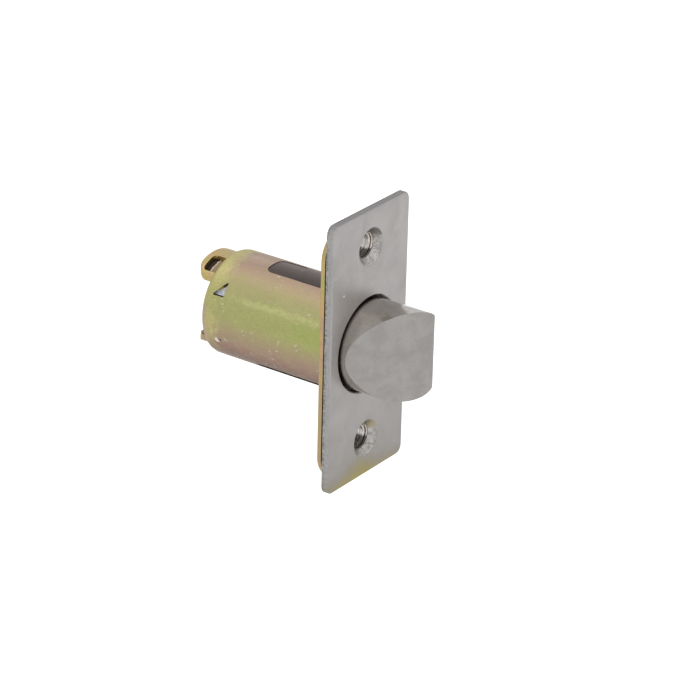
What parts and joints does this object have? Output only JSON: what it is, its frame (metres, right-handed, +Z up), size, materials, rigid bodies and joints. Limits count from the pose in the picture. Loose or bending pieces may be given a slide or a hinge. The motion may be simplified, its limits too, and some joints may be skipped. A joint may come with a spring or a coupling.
{
  "type": "tubular door latch",
  "caption": "Spring latch for a cylindrical door lock: a bevelled bolt that springs out through a rectangular face plate from a round case, with prongs and a tail for the lock.",
  "frame": {"origin": "centre of the face plate's outer face, on the axis of the case tube and bolt", "axes": "+X out of the door edge along the bolt's travel, +Y to the right when the face plate is looked at from outside, +Z up along the door edge; the bevel faces -Y"},
  "size_m": [0.0508, 0.0254, 0.0572],
  "materials": {
    "faceplate": "satin chrome-like plating, fine scratches",
    "backing_plate": "yellow zinc plating",
    "latch_tube": "yellow zinc plating, iridescent",
    "guide_sleeve": "dark grey moulded plastic",
    "prong_cap": "yellow zinc plating",
    "latch_bolt": "satin plated casting",
    "tail_bar": "yellow zinc plating",
    "tail_pin": "bright steel",
    "bolt_spring": "spring steel wire"
  },
  "bodies": {
    "case": {"faceplate": "faceplate", "backing_plate": "backing_plate", "latch_tube": "latch_tube", "guide_sleeve": "guide_sleeve", "prong_cap": "prong_cap", "bolt_spring": "bolt_spring"},
    "bolt": {"latch_bolt": "latch_bolt", "tail_bar": "tail_bar", "tail_pin": "tail_pin"}
  },
  "joints": [
    {"name": "bolt_slide", "type": "slide", "parent": "case", "child": "bolt", "axis": [1, 0, 0], "range_m": [-0.0127, 0], "stiffness_N_per_m": 500, "springref_m": 0.012, "deforming": ["bolt_spring"]}
  ]
}
